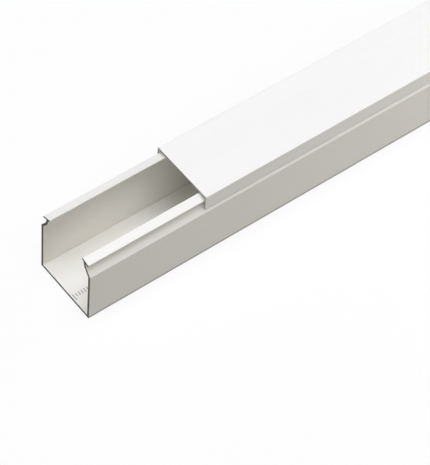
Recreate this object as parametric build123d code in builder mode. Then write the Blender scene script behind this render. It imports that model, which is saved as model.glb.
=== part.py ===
"""Clip-on cable trunking in two extruded pieces.

The channel is a deep U. The top of each wall leans in over a sloping neck and ends in an
outward lip. The cover is a flat plate with two short skirts, and a barb on the inside of
each skirt catches under the lip. The cover runs along the lips, and rests drawn back from
the channel's near end.

The channel lies along Y with its underside on Z = 0. X is the width. The origin is the
middle of the underside.
"""

from build123d import *
from math import atan2, cos, hypot
import os

# Stock, in millimetres
stock_length = 2000.0
cover_draw = 104.0

# Channel
channel_width = 60.0
channel_wall = 1.9
shoulder_height = 48.9
heel_radius = 0.5
shoulder_radius = 1.8
inner_corner_radius = 0.5

# Neck and lip, measured inwards from the channel's outer face and up from the shoulder
neck_inset = 5.2
neck_rise = 7.4
neck_radius = 1.0
lip_crown_rise = 14.2
lip_width = 7.4
lip_thickness = 1.4
lip_fall = 2.1
lip_overhang = 1.0
lip_bite = 0.4
lip_edge_radius = 0.5
lip_root_radius = 0.5

# Cover
cover_wall = 1.2
cover_setback = 0.8
cover_edge_radius = 0.5
foot_land = 0.9
barb_reach = 1.7
barb_land = 0.7
barb_lead = 2.6
barb_edge_radius = 0.25

# Clearances of the clipped fit
crown_clearance = 1.9
side_clearance = 0.2
catch_clearance = 0.3
foot_clearance = 0.5

# Shared places, in the section's own plane: X across, Z up
half_width = channel_width / 2
shoulder = Vector(half_width, shoulder_height)
kink = shoulder + Vector(-neck_inset, neck_rise)
skirt_face = half_width - cover_setback
skirt_inner_face = skirt_face - cover_wall
lip_crown = shoulder_height + lip_crown_rise
lip_tip_top = Vector(skirt_inner_face - side_clearance, lip_crown - lip_fall)
lip_nose_top = Vector(lip_tip_top.X - lip_width, lip_crown)
cover_underside = lip_crown + crown_clearance
cover_top = cover_underside + cover_wall


def corner(sketch, x, z):
    """The sketch's vertex nearest to a point."""
    return sketch.vertices().sort_by_distance((x, z))[0]


def neck_root():
    """The end of the neck's outer face, inside the lip."""
    lip_run = lip_tip_top - lip_nose_top
    lean = atan2(kink.X - lip_nose_top.X - lip_overhang - channel_wall, lip_crown - kink.Y)
    along = (lip_overhang + channel_wall / cos(lean)) / lip_run.X
    return lip_nose_top + lip_run * along - Vector(0, lip_bite)


def build_channel():
    """The U-shaped channel with its two necks and lips."""
    root = neck_root()
    with BuildPart() as channel:
        with BuildSketch(Plane.XZ) as section:
            with BuildLine():
                FilletPolyline(
                    (0, 0),
                    (half_width, 0),
                    shoulder,
                    kink,
                    root,
                    radius=[heel_radius, shoulder_radius, neck_radius],
                )
                offset(amount=channel_wall, side=Side.LEFT)
            make_face()
            fillet(corner(section.sketch_local, half_width - channel_wall, channel_wall), inner_corner_radius)
            with BuildSketch(mode=Mode.PRIVATE) as lip:
                with BuildLine():
                    Line(lip_nose_top, lip_tip_top)
                    offset(amount=lip_thickness, side=Side.RIGHT)
                make_face()
                fillet(lip.vertices(), lip_edge_radius)
            add(lip.sketch)
            under_lip = root - Vector(0, lip_thickness - lip_bite)
            roots = section.sketch_local.vertices().sort_by_distance(under_lip - Vector(channel_wall / 2, 0))[0:2]
            fillet(roots, lip_root_radius)
            mirror(about=Plane.YZ)
        extrude(amount=stock_length / 2, both=True)
    channel.part.label = "channel"
    return channel.part


def build_cover():
    """The cover, with its skirts and barbs, drawn back along the lips."""
    neck_slope = neck_rise / neck_inset
    foot_gap = foot_clearance * hypot(1, neck_slope)
    foot = shoulder_height + (cover_setback + foot_land) * neck_slope + foot_gap
    foot_inner = foot + (cover_wall - foot_land) * neck_slope
    catch = lip_tip_top.Y - lip_thickness - catch_clearance
    barb_tip = skirt_inner_face - barb_reach
    with BuildPart() as cover:
        with BuildSketch(Plane.XZ) as section:
            with BuildLine():
                Polyline(
                    (0, cover_top),
                    (skirt_face, cover_top),
                    (skirt_face, foot),
                    (skirt_face - foot_land, foot),
                    (skirt_inner_face, foot_inner),
                    (skirt_inner_face, catch - barb_land - barb_lead),
                    (barb_tip, catch - barb_land),
                    (barb_tip, catch),
                    (skirt_inner_face, catch),
                    (skirt_inner_face, cover_underside),
                    (0, cover_underside),
                    close=True,
                )
            make_face()
            fillet(corner(section.sketch_local, skirt_face, cover_top), cover_edge_radius)
            barb_edges = [
                corner(section.sketch_local, barb_tip, catch - barb_land),
                corner(section.sketch_local, barb_tip, catch),
            ]
            fillet(barb_edges, barb_edge_radius)
            mirror(about=Plane.YZ)
        extrude(amount=stock_length / 2, both=True)
    cover.part.label = "cover"
    return cover.part.moved(Location((0, cover_draw, 0)))


os.makedirs("parts", exist_ok=True)
for piece in (build_channel(), build_cover()):
    export_step(piece, f"parts/{piece.label}.step")
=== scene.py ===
"""Cable trunking in white rigid PVC: its finishes, its printed line, the stage and the camera."""

import math

import bmesh
import bpy
from bpy.props import FloatProperty, FloatVectorProperty, IntProperty, PointerProperty
from mathutils import Matrix, Quaternion, Vector


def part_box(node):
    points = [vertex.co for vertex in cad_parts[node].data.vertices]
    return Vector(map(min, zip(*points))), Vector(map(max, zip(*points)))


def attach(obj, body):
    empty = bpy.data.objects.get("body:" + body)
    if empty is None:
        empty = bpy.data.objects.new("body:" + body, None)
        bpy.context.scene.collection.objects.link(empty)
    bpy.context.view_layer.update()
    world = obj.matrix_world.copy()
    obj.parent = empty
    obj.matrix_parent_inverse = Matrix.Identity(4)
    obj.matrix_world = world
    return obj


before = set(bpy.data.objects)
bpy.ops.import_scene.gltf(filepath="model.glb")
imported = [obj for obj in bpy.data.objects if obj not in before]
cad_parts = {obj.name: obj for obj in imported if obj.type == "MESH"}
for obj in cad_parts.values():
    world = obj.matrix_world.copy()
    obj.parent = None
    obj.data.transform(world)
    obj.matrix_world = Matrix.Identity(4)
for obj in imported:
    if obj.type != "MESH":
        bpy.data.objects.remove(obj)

bl_info = {
    "name": "Cable Trunking",
    "version": (1, 0, 0),
    "blender": (4, 5, 0),
    "location": "View3D > Sidebar > Trunking",
    "description": "Finishes a clip-on cable trunking, prints its channel and sets its stage",
    "category": "Object",
}

channel_low, channel_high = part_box("channel")
cover_low, cover_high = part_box("cover")
stock_length = channel_high.y - channel_low.y
# The channel's wall, so the height of its inner floor.
channel_wall = 0.0019

# Each lamp's lean from straight up, its azimuth from +X and the angle that it fills, all in
# degrees, then its strength and its colour.
soft_lamps = {
    "lamp_overhead": (0, 0, 40, 1.56, (0.95, 0.99, 1.14)),
    "lamp_right": (20, 0, 60, 0.865, (1.05, 0.99, 0.93)),
    "lamp_front": (70, -90, 40, 0.46, (1.04, 1.02, 0.93)),
    "lamp_front_right": (75, -65, 30, 0.525, (1.06, 1.0, 0.93)),
    "lamp_front_left": (60, -115, 60, 0.2, (0.98, 1.0, 0.9)),
    "lamp_left": (85, 180, 10, 0.38, (1.0, 1.0, 1.0)),
    "lamp_behind": (80, 90, 30, 0.3, (1.0, 1.0, 1.0)),
}


def colour_property(name, description, default):
    """A colour that a user picks."""
    return FloatVectorProperty(
        name=name, description=description, default=default, subtype="COLOR", min=0.0, max=1.0
    )


def length_property(name, description, default):
    """A length in metres."""
    return FloatProperty(
        name=name, description=description, default=default, unit="LENGTH", min=0.0, precision=5
    )


def share_property(name, description, default):
    """A share from 0 to 1."""
    return FloatProperty(
        name=name, description=description, default=default, subtype="FACTOR", min=0.0, max=1.0
    )


class TrunkingPlastic(bpy.types.PropertyGroup):
    """What the channel's and the cover's plastic have in common."""

    channel_colour: colour_property(
        "Channel", "Colour of the channel's plastic", (0.86, 0.85, 0.8)
    )
    cover_colour: colour_property("Cover", "Colour of the cover's plastic", (0.9, 0.899, 0.857))
    # The sawn colours are partly the grey of a rough cut and mostly painted shade: the channel's
    # ends are painted near black and the cover's a mid grey.
    channel_sawn_and_shade: colour_property(
        "Channel end", "Colour of the channel's sawn ends", (0.045, 0.044, 0.038)
    )
    cover_sawn_and_shade: colour_property("Cover end", "Colour of the cover's sawn ends", (0.32, 0.31, 0.285))
    refraction: FloatProperty(
        name="Refraction", description="Index of refraction of the plastic", default=1.53, min=1.0
    )
    roughness: share_property("Roughness", "Roughness of the drawn faces", 0.4)
    sawn_roughness: share_property("End roughness", "Roughness of the sawn ends", 0.75)
    line_pitch: length_property("Die line pitch", "Distance between two die lines", 0.0011)
    line_run: length_property("Die line run", "Length over which a die line changes", 0.4)
    line_depth: length_property("Die line depth", "Depth of a die line", 0.000028)
    line_tint: share_property("Die line tint", "How the tint changes from line to line", 0.03)
    line_gloss: share_property("Die line gloss", "How the gloss changes from line to line", 0.1)
    wave_pitch: length_property("Wave pitch", "Distance between two shallow waves", 0.012)
    wave_depth: length_property("Wave depth", "Depth of a shallow wave", 0.00008)
    grain_pitch: length_property("Grain pitch", "Size of the fine grain", 0.0003)
    grain_depth: length_property("Grain depth", "Depth of the fine grain", 0.000006)
    saw_pitch: length_property("Saw mark pitch", "Distance between two saw marks", 0.0007)
    saw_depth: length_property("Saw mark depth", "Depth of a saw mark", 0.00006)
    saw_contrast: share_property("Saw mark contrast", "How much a saw mark darkens or pales", 0.25)
    saw_centre: FloatVectorProperty(
        name="Saw centre",
        description="Middle of the round blade, seen along the stock",
        default=(0.09, 0.0, -0.06),
        subtype="TRANSLATION",
        unit="LENGTH",
    )
    # The bruised edge takes the sawn colour, so it carries the painted shade of the ends onto the
    # edges of the drawn faces.
    bruise_and_shade_width: length_property("Bruise", "Width of the bruised edge at a cut", 0.0003)
    # The darker band at the outer corners is painted shade on the channel, above all its dark heel,
    # and wear on the cover.
    rub_and_shade_width: length_property("Rub width", "Width of the rubbed long edges", 0.0034)
    heel_painted_shade: share_property("Heel dirt", "How much the channel's rubbed heel darkens", 0.75)
    edge_dirt: share_property("Edge dirt", "How much the cover's rubbed edge darkens", 0.02)
    scuff_width: length_property("Scuff width", "Distance between two scuffs across", 0.006)
    scuff_run: length_property("Scuff length", "Distance between two scuffs along", 0.02)
    scuff_dirt: share_property("Scuff dirt", "How much a scuff darkens", 0.03)
    scuff_gloss: share_property("Scuff gloss", "How much a scuff dulls the gloss", 0.12)
    drift_width: length_property("Drift width", "Distance between two patches across", 0.05)
    drift_run: length_property("Drift length", "Distance between two patches along", 0.18)
    drift_tint: share_property("Tint drift", "How far the tint drifts from patch to patch", 0.035)
    drift_gloss: share_property("Gloss drift", "How far the gloss drifts from patch to patch", 0.12)


class TrunkingPrint(bpy.types.PropertyGroup):
    """The line of plain marks printed along the channel's floor."""

    ink_colour: colour_property("Ink", "Colour of the ink", (0.24, 0.24, 0.23))
    place_across: length_property("Place across", "From the middle to the line's middle", 0.0098)
    mark_length: length_property("Mark length", "Length of a long mark, across the floor", 0.006)
    short_share: share_property("Short marks", "Length of a short mark, as part of a long one", 0.6)
    mark_width: length_property("Mark width", "Width of a mark, along the floor", 0.0007)
    mark_pitch: length_property("Mark pitch", "Distance between two marks", 0.0025)
    first_mark: length_property("First mark", "From the near end to the first mark", 0.002)
    ink_height: length_property("Ink height", "Height of the ink over the floor", 0.00003)
    ink_roughness: share_property("Ink roughness", "Roughness of the fresh ink", 0.5)
    wear_pitch: length_property("Wear pitch", "Distance between two worn spots", 0.0006)
    wear_paleness: FloatProperty(
        name="Wear paleness", description="How many times paler worn ink is", default=2.2, min=1.0
    )
    marks: IntProperty(name="Marks", description="Marks in one group", default=21, min=1)
    long_every: IntProperty(
        name="Long marks", description="From one long mark to the next", default=5, min=1
    )
    groups: IntProperty(name="Groups", description="Groups along the stock", default=4, min=1)


class TrunkingStage(bpy.types.PropertyGroup):
    """The floor, the light and the camera."""

    floor_radius: length_property("Floor radius", "Radius of the round floor", 30.0)
    floor_gap: length_property("Floor gap", "From the part down to the floor", 0.0001)
    floor_colour: colour_property("Floor", "Colour of the floor", (0.93, 0.93, 0.93))
    floor_return: colour_property(
        "Floor return", "Share of light that the floor sends back", (0.32, 0.3, 0.265)
    )
    floor_glow: share_property("Floor glow", "Share of the floor's white that no shadow dims", 0.8)
    lamp_strength: FloatProperty(
        name="Lamps", description="Strength of all the lamps together", default=1.0, min=0.0
    )
    room_strength: FloatProperty(
        name="Room", description="Strength of the light from all round", default=0.1, min=0.0
    )
    panel_power: FloatProperty(
        name="Panel",
        description="Power of the low panel at the right",
        default=0.97,
        min=0.0,
        unit="POWER",
    )
    panel_length: length_property("Panel length", "Length of the low panel, along the stock", 1.9)
    panel_height: length_property("Panel height", "Height of the low panel", 0.2)
    panel_place: FloatVectorProperty(
        name="Panel place",
        description="Where the low panel stands",
        default=(0.35, 0.25, 0.12),
        subtype="TRANSLATION",
        unit="LENGTH",
    )
    panel_aim: FloatVectorProperty(
        name="Panel aim",
        description="The point that the low panel faces",
        default=(0.03, 0.25, 0.03),
        subtype="TRANSLATION",
        unit="LENGTH",
    )
    lens: FloatProperty(
        name="Lens",
        description="Focal length on a 36 mm frame, in millimetres",
        default=162.6,
        min=1.0,
        unit="CAMERA",
    )
    camera_place: FloatVectorProperty(
        name="Camera",
        description="Where the camera stands",
        default=(0.7398, -1.5396, 1.2546),
        subtype="TRANSLATION",
        unit="LENGTH",
    )
    azimuth: FloatProperty(
        name="Azimuth",
        description="Angle of the camera round the object from the near end",
        default=math.radians(47.28),
        subtype="ANGLE",
    )
    elevation: FloatProperty(
        name="Elevation",
        description="Angle that the camera looks down",
        default=math.radians(52.02),
        subtype="ANGLE",
    )
    roll: FloatProperty(
        name="Roll",
        description="Turn of the camera about its line of sight",
        default=math.radians(6.20),
        subtype="ANGLE",
    )


class Wire:
    """An output socket, or none yet. Sums on it add Math nodes, and node() adds any other."""

    def __init__(self, tree, socket=None):
        self.tree = tree
        self.socket = socket

    def node(self, kind, settings=None, inputs=None, output=0):
        """The chosen output of a new node, after its settings are made and its inputs filled."""
        made = self.tree.nodes.new(kind)
        for name, value in (settings or {}).items():
            setattr(made, name, value)
        for name, value in (inputs or {}).items():
            if isinstance(value, Wire):
                self.tree.links.new(value.socket, made.inputs[name])
            else:
                made.inputs[name].default_value = value
        return Wire(self.tree, made.outputs[output]) if made.outputs else None

    def sum(self, operation, first, second=0.0):
        """A Math node on one value or two."""
        return self.node("ShaderNodeMath", {"operation": operation}, {0: first, 1: second})

    def part(self, axis):
        """One part of a vector."""
        return self.node("ShaderNodeSeparateXYZ", None, {"Vector": self}, output=axis)

    def __add__(self, other):
        return self.sum("ADD", self, other)

    def __radd__(self, other):
        return self.sum("ADD", other, self)

    def __sub__(self, other):
        return self.sum("SUBTRACT", self, other)

    def __rsub__(self, other):
        return self.sum("SUBTRACT", other, self)

    def __mul__(self, other):
        if isinstance(other, tuple):
            return self.node(
                "ShaderNodeVectorMath", {"operation": "MULTIPLY"}, {0: self, 1: other}
            )
        return self.sum("MULTIPLY", self, other)

    def __rmul__(self, other):
        return self.sum("MULTIPLY", other, self)

    def __abs__(self):
        return self.sum("ABSOLUTE", self)

    def step(self, low, high):
        """0 below low, 1 above high and smooth between."""
        inputs = {"Value": self, "From Min": low, "From Max": high}
        return self.node("ShaderNodeMapRange", {"interpolation_type": "SMOOTHSTEP"}, inputs)


def new_material(name):
    """An empty material that uses nodes, and a wire to build them with."""
    material = bpy.data.materials.new(name)
    material.use_nodes = True
    material.node_tree.nodes.clear()
    return material, Wire(material.node_tree)


def mixed(wire, share, first, second):
    """A colour between two colours."""
    settings = {"data_type": "RGBA"}
    # The colour sockets of a Mix node come after those of its numbers and vectors.
    inputs = {0: share, 6: first, 7: second}
    return wire.node("ShaderNodeMix", settings, inputs, output=2)


def spots(wire, places, pitch, detail, roughness=0.5):
    """Noise from 0 to 1 whose features are one pitch apart along each axis."""
    scale = tuple(1.0 / length for length in pitch)
    stretched = wire.node(
        "ShaderNodeMapping", {"vector_type": "POINT"}, {"Vector": places, "Scale": scale}
    )
    inputs = {"Vector": stretched, "Scale": 1.0, "Detail": detail, "Roughness": roughness}
    return wire.node("ShaderNodeTexNoise", {"noise_dimensions": "3D"}, inputs)


def plastic_material(name, plastic, colour, sawn_and_shade_colour, darkening, low, high):
    """Rigid PVC as it leaves the die, darkened along its long edges and sawn at its ends.

    Low and high are the corners of the piece's box, and darkening is how much the band along its
    long outer edges darkens: painted shade on the channel, wear on the cover.
    """
    material, wire = new_material(name)
    places = wire.node("ShaderNodeTexCoord", output="Object")
    across = abs(places.part("X"))
    along = places.part("Y")
    upwards = places.part("Z")

    # The sawn ends, with the bruised edge that the blade leaves round them. The sawn look fades in
    # over the first part of that edge. The sawn colour is partly the grey of a rough cut and mostly
    # painted shade, which darkens the ends and the bruised edge next to them.
    half = (high.y - low.y) / 2
    from_middle = abs(along - (low.y + high.y) / 2)
    bruise_and_shade = plastic.bruise_and_shade_width
    sawn = from_middle.step(half - bruise_and_shade, half - 0.7 * bruise_and_shade)
    blade = wire.node(
        "ShaderNodeVectorMath",
        {"operation": "DISTANCE"},
        {0: places * (1.0, 0.0, 1.0), 1: plastic.saw_centre},
        output="Value",
    )
    saw = wire.node(
        "ShaderNodeTexNoise",
        {"noise_dimensions": "1D"},
        {"W": blade * (1.0 / plastic.saw_pitch), "Scale": 1.0, "Detail": 3.0},
    )

    # The faces that the die leaves: fine lines along the stock, shallow waves, a fine grain, and
    # broad patches where the tint drifts.
    run = plastic.line_run
    lines = spots(wire, places, (plastic.line_pitch, run, plastic.line_pitch), detail=3.0)
    waves = spots(wire, places, (plastic.wave_pitch, 3 * run, plastic.wave_pitch), detail=1.0)
    grain = spots(wire, places, (plastic.grain_pitch,) * 3, detail=1.0)
    patch = (plastic.drift_width, plastic.drift_run, plastic.drift_width)
    drift = spots(wire, places, patch, detail=3.0)

    # Handling: scuffs on the faces, and a darker band along the section's four outer corners. On
    # the cover that band is wear; on the channel it is painted shade, mostly the dark line along
    # the heel.
    scuff = (plastic.scuff_width, plastic.scuff_run, plastic.scuff_width)
    scuffs = spots(wire, places, scuff, detail=5.0, roughness=0.7).step(0.56, 0.72)
    mid_height = (low.z + high.z) / 2
    half_height = mid_height - low.z
    at_side = across.step(high.x - plastic.rub_and_shade_width, high.x)
    at_level = abs(upwards - mid_height).step(half_height - plastic.rub_and_shade_width, half_height)
    worn_and_shaded = at_side * at_level

    tint = 1.0 + (drift - 0.5) * plastic.drift_tint + (lines - 0.5) * plastic.line_tint
    # The band's darkening is painted shade on the channel and wear on the cover.
    tint = tint - scuffs * plastic.scuff_dirt - worn_and_shaded * darkening
    # The tint goes a little over 1, so it is halved and the colour is doubled.
    doubled = tuple(2 * part for part in colour)
    body = mixed(wire, tint * 0.5, (0.0, 0.0, 0.0, 1.0), (*doubled, 1.0))
    # The cut's colour is mostly painted shade, with real saw marks on it.
    dark_cut = tuple((1.0 - plastic.saw_contrast) * part for part in sawn_and_shade_colour)
    pale_cut = tuple((1.0 + plastic.saw_contrast) * part for part in sawn_and_shade_colour)
    cut = mixed(wire, saw, (*dark_cut, 1.0), (*pale_cut, 1.0))
    face = mixed(wire, sawn, body, cut)

    drawn_rough = plastic.roughness + (lines - 0.5) * plastic.line_gloss
    drawn_rough = drawn_rough + (drift - 0.5) * plastic.drift_gloss + scuffs * plastic.scuff_gloss
    rough = drawn_rough + (plastic.sawn_roughness - drawn_rough) * sawn

    drawn_relief = lines * plastic.line_depth + waves * plastic.wave_depth
    drawn_relief = drawn_relief + grain * plastic.grain_depth
    relief = drawn_relief * (1.0 - sawn) + saw * sawn * plastic.saw_depth
    bump = wire.node("ShaderNodeBump", None, {"Strength": 1.0, "Distance": 1.0, "Height": relief})
    shader = wire.node(
        "ShaderNodeBsdfPrincipled",
        None,
        {"Base Color": face, "Roughness": rough, "Normal": bump, "IOR": plastic.refraction},
    )
    wire.node("ShaderNodeOutputMaterial", None, {"Surface": shader})
    return material


def ink_material(name, line):
    """Thin grey ink, a little worn where it lies."""
    material, wire = new_material(name)
    places = wire.node("ShaderNodeTexCoord", output="Object")
    wear = spots(wire, places, (line.wear_pitch,) * 3, detail=3.0)
    pale = tuple(min(1.0, line.wear_paleness * part) for part in line.ink_colour)
    ink = mixed(wire, wear.step(0.45, 0.75), (*line.ink_colour, 1.0), (*pale, 1.0))
    rough = line.ink_roughness + wear * 0.2
    shader = wire.node("ShaderNodeBsdfPrincipled", None, {"Base Color": ink, "Roughness": rough})
    wire.node("ShaderNodeOutputMaterial", None, {"Surface": shader})
    return material


def dress(node, material):
    """Puts a material on every slot of a CAD node."""
    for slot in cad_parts[node].material_slots:
        slot.material = material


class TRUNKING_OT_finish_channel(bpy.types.Operator):
    """Give the channel its drawn PVC finish and its sawn ends"""

    bl_idname = "trunking.finish_channel"
    bl_label = "Finish Channel"

    def execute(self, context):
        plastic = context.scene.trunking_plastic
        material = plastic_material(
            "channel_plastic",
            plastic,
            plastic.channel_colour,
            # The channel's near-black sawn colour is mostly painted shade.
            plastic.channel_sawn_and_shade,
            # Painted shade along the channel's outer corners, mostly its dark heel.
            plastic.heel_painted_shade,
            channel_low,
            channel_high,
        )
        dress("channel", material)
        return {"FINISHED"}


class TRUNKING_OT_finish_cover(bpy.types.Operator):
    """Give the cover its drawn PVC finish and its sawn ends"""

    bl_idname = "trunking.finish_cover"
    bl_label = "Finish Cover"

    def execute(self, context):
        plastic = context.scene.trunking_plastic
        material = plastic_material(
            "cover_plastic",
            plastic,
            plastic.cover_colour,
            plastic.cover_sawn_and_shade,
            plastic.edge_dirt,
            cover_low,
            cover_high,
        )
        dress("cover", material)
        return {"FINISHED"}


class TRUNKING_OT_print_channel(bpy.types.Operator):
    """Print groups of plain marks along the channel's floor"""

    bl_idname = "trunking.print_channel"
    bl_label = "Print Channel"

    def execute(self, context):
        line = context.scene.trunking_print
        marks = bmesh.new()
        for group in range(line.groups):
            start = channel_low.y + line.first_mark + group * stock_length / line.groups
            for mark in range(line.marks):
                long = mark % line.long_every == 0
                length = line.mark_length * (1.0 if long else line.short_share)
                middle = Vector((
                    line.place_across - (line.mark_length - length) / 2,
                    start + mark * line.mark_pitch,
                    channel_wall,
                ))
                # The lower half of a mark lies within the floor.
                size = Matrix.Diagonal((length, line.mark_width, 2 * line.ink_height, 1.0))
                bmesh.ops.create_cube(marks, size=1.0, matrix=Matrix.Translation(middle) @ size)
        mesh = bpy.data.meshes.new("printed_marks")
        marks.to_mesh(mesh)
        marks.free()
        mesh.materials.append(ink_material("ink", line))
        piece = bpy.data.objects.new("printed_marks", mesh)
        context.scene.collection.objects.link(piece)
        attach(piece, "channel")
        return {"FINISHED"}


def seen_rays(wire):
    """1 for the rays that show the background: to the eye, in gloss and through glass."""
    seen = wire.node("ShaderNodeLightPath", output="Is Camera Ray")
    for kind in ("Is Glossy Ray", "Is Transmission Ray"):
        seen = wire.sum("MAXIMUM", seen, wire.node("ShaderNodeLightPath", output=kind))
    return seen


def floor_material(stage):
    """A white floor to the eye that keeps shadows and sends little light back."""
    material, wire = new_material("stage_floor")
    seen = seen_rays(wire)
    shade = mixed(wire, seen, (*stage.floor_return, 1.0), (*stage.floor_colour, 1.0))
    matt = wire.node("ShaderNodeBsdfDiffuse", None, {"Color": shade})
    glow = wire.node("ShaderNodeEmission", None, {"Color": (1.0, 1.0, 1.0, 1.0), "Strength": 1.0})
    both = wire.node(
        "ShaderNodeMixShader", None, {0: seen * stage.floor_glow, 1: matt, 2: glow}
    )
    wire.node("ShaderNodeOutputMaterial", None, {"Surface": both})
    return material


def set_room(scene, stage):
    """A white room to the eye, and an even soft light on the object."""
    world = bpy.data.worlds.new("stage_room")
    scene.world = world
    world.use_nodes = True
    world.node_tree.nodes.clear()
    wire = Wire(world.node_tree)
    seen = seen_rays(wire)
    strength = stage.room_strength + (1.0 - stage.room_strength) * seen
    room = wire.node(
        "ShaderNodeBackground", None, {"Color": (1.0, 1.0, 1.0, 1.0), "Strength": strength}
    )
    wire.node("ShaderNodeOutputWorld", None, {"Surface": room})


def hang_lamp(scene, name, share):
    """A broad distant lamp that shines down from its place in the sky."""
    lean, azimuth, spread, strength, colour = soft_lamps[name]
    lamp = bpy.data.lights.new(name, "SUN")
    lamp.energy = strength * share
    lamp.angle = math.radians(spread)
    lamp.color = colour
    piece = bpy.data.objects.new(name, lamp)
    scene.collection.objects.link(piece)
    lean = math.radians(lean)
    azimuth = math.radians(azimuth)
    upwards = Vector((
        math.sin(lean) * math.cos(azimuth),
        math.sin(lean) * math.sin(azimuth),
        math.cos(lean),
    ))
    piece.rotation_mode = "QUATERNION"
    piece.rotation_quaternion = upwards.to_track_quat("Z", "Y")


def stand_panel(scene, stage):
    """A long soft panel low at the right, which lifts the trunking's right side."""
    lamp = bpy.data.lights.new("lamp_panel", "AREA")
    lamp.shape = "RECTANGLE"
    lamp.size = stage.panel_length
    lamp.size_y = stage.panel_height
    lamp.energy = stage.panel_power * stage.lamp_strength
    piece = bpy.data.objects.new("lamp_panel", lamp)
    scene.collection.objects.link(piece)
    piece.location = stage.panel_place
    backwards = Vector(stage.panel_place) - Vector(stage.panel_aim)
    piece.rotation_mode = "QUATERNION"
    piece.rotation_quaternion = backwards.to_track_quat("Z", "Y")


class TRUNKING_OT_set_stage(bpy.types.Operator):
    """Lay the floor, light the room and stand the camera"""

    bl_idname = "trunking.set_stage"
    bl_label = "Set Stage"

    def execute(self, context):
        scene = context.scene
        stage = scene.trunking_stage

        ground = bmesh.new()
        bmesh.ops.create_circle(ground, cap_ends=True, segments=96, radius=stage.floor_radius)
        bmesh.ops.translate(ground, vec=(0.0, 0.0, -stage.floor_gap), verts=ground.verts)
        mesh = bpy.data.meshes.new("stage_floor")
        ground.to_mesh(mesh)
        ground.free()
        mesh.materials.append(floor_material(stage))
        floor = bpy.data.objects.new("stage_floor", mesh)
        scene.collection.objects.link(floor)

        set_room(scene, stage)

        for name in soft_lamps:
            hang_lamp(scene, name, stage.lamp_strength)
        stand_panel(scene, stage)

        data = bpy.data.cameras.new("stage_camera")
        data.lens = stage.lens
        data.sensor_width = 36.0
        data.clip_start = 0.01
        data.clip_end = 200.0
        camera = bpy.data.objects.new("stage_camera", data)
        scene.collection.objects.link(camera)
        sight = Vector((
            -math.sin(stage.azimuth) * math.cos(stage.elevation),
            math.cos(stage.azimuth) * math.cos(stage.elevation),
            -math.sin(stage.elevation),
        ))
        turn = Quaternion((0.0, 0.0, 1.0), stage.roll)
        camera.rotation_mode = "QUATERNION"
        camera.rotation_quaternion = sight.to_track_quat("-Z", "Y") @ turn
        camera.location = stage.camera_place
        scene.camera = camera
        scene.view_settings.view_transform = "Standard"
        return {"FINISHED"}


class TRUNKING_PT_panel(bpy.types.Panel):
    """The trunking's settings and the steps that build it"""

    bl_idname = "TRUNKING_PT_panel"
    bl_label = "Cable Trunking"
    bl_space_type = "VIEW_3D"
    bl_region_type = "UI"
    bl_category = "Trunking"

    def draw(self, context):
        for step in steps:
            self.layout.operator(step.bl_idname)
        for group in setting_groups:
            settings = getattr(context.scene, group)
            column = self.layout.column(align=True)
            for name in settings.bl_rna.properties.keys():
                if name not in {"rna_type", "name"}:
                    column.prop(settings, name)


setting_groups = {
    "trunking_plastic": TrunkingPlastic,
    "trunking_print": TrunkingPrint,
    "trunking_stage": TrunkingStage,
}
steps = (
    TRUNKING_OT_finish_channel,
    TRUNKING_OT_finish_cover,
    TRUNKING_OT_print_channel,
    TRUNKING_OT_set_stage,
)


def register():
    """Adds the classes and the scene's settings."""
    for group, kind in setting_groups.items():
        bpy.utils.register_class(kind)
        setattr(bpy.types.Scene, group, PointerProperty(type=kind))
    for kind in (*steps, TRUNKING_PT_panel):
        bpy.utils.register_class(kind)


def unregister():
    """Takes away what register adds."""
    for kind in (TRUNKING_PT_panel, *reversed(steps)):
        bpy.utils.unregister_class(kind)
    for group, kind in setting_groups.items():
        delattr(bpy.types.Scene, group)
        bpy.utils.unregister_class(kind)


def main():
    """Builds the dressed trunking."""
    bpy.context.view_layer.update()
    register()
    bpy.ops.trunking.finish_channel()
    bpy.ops.trunking.finish_cover()
    bpy.ops.trunking.print_channel()
    bpy.ops.trunking.set_stage()


if __name__ == "__main__":
    main()
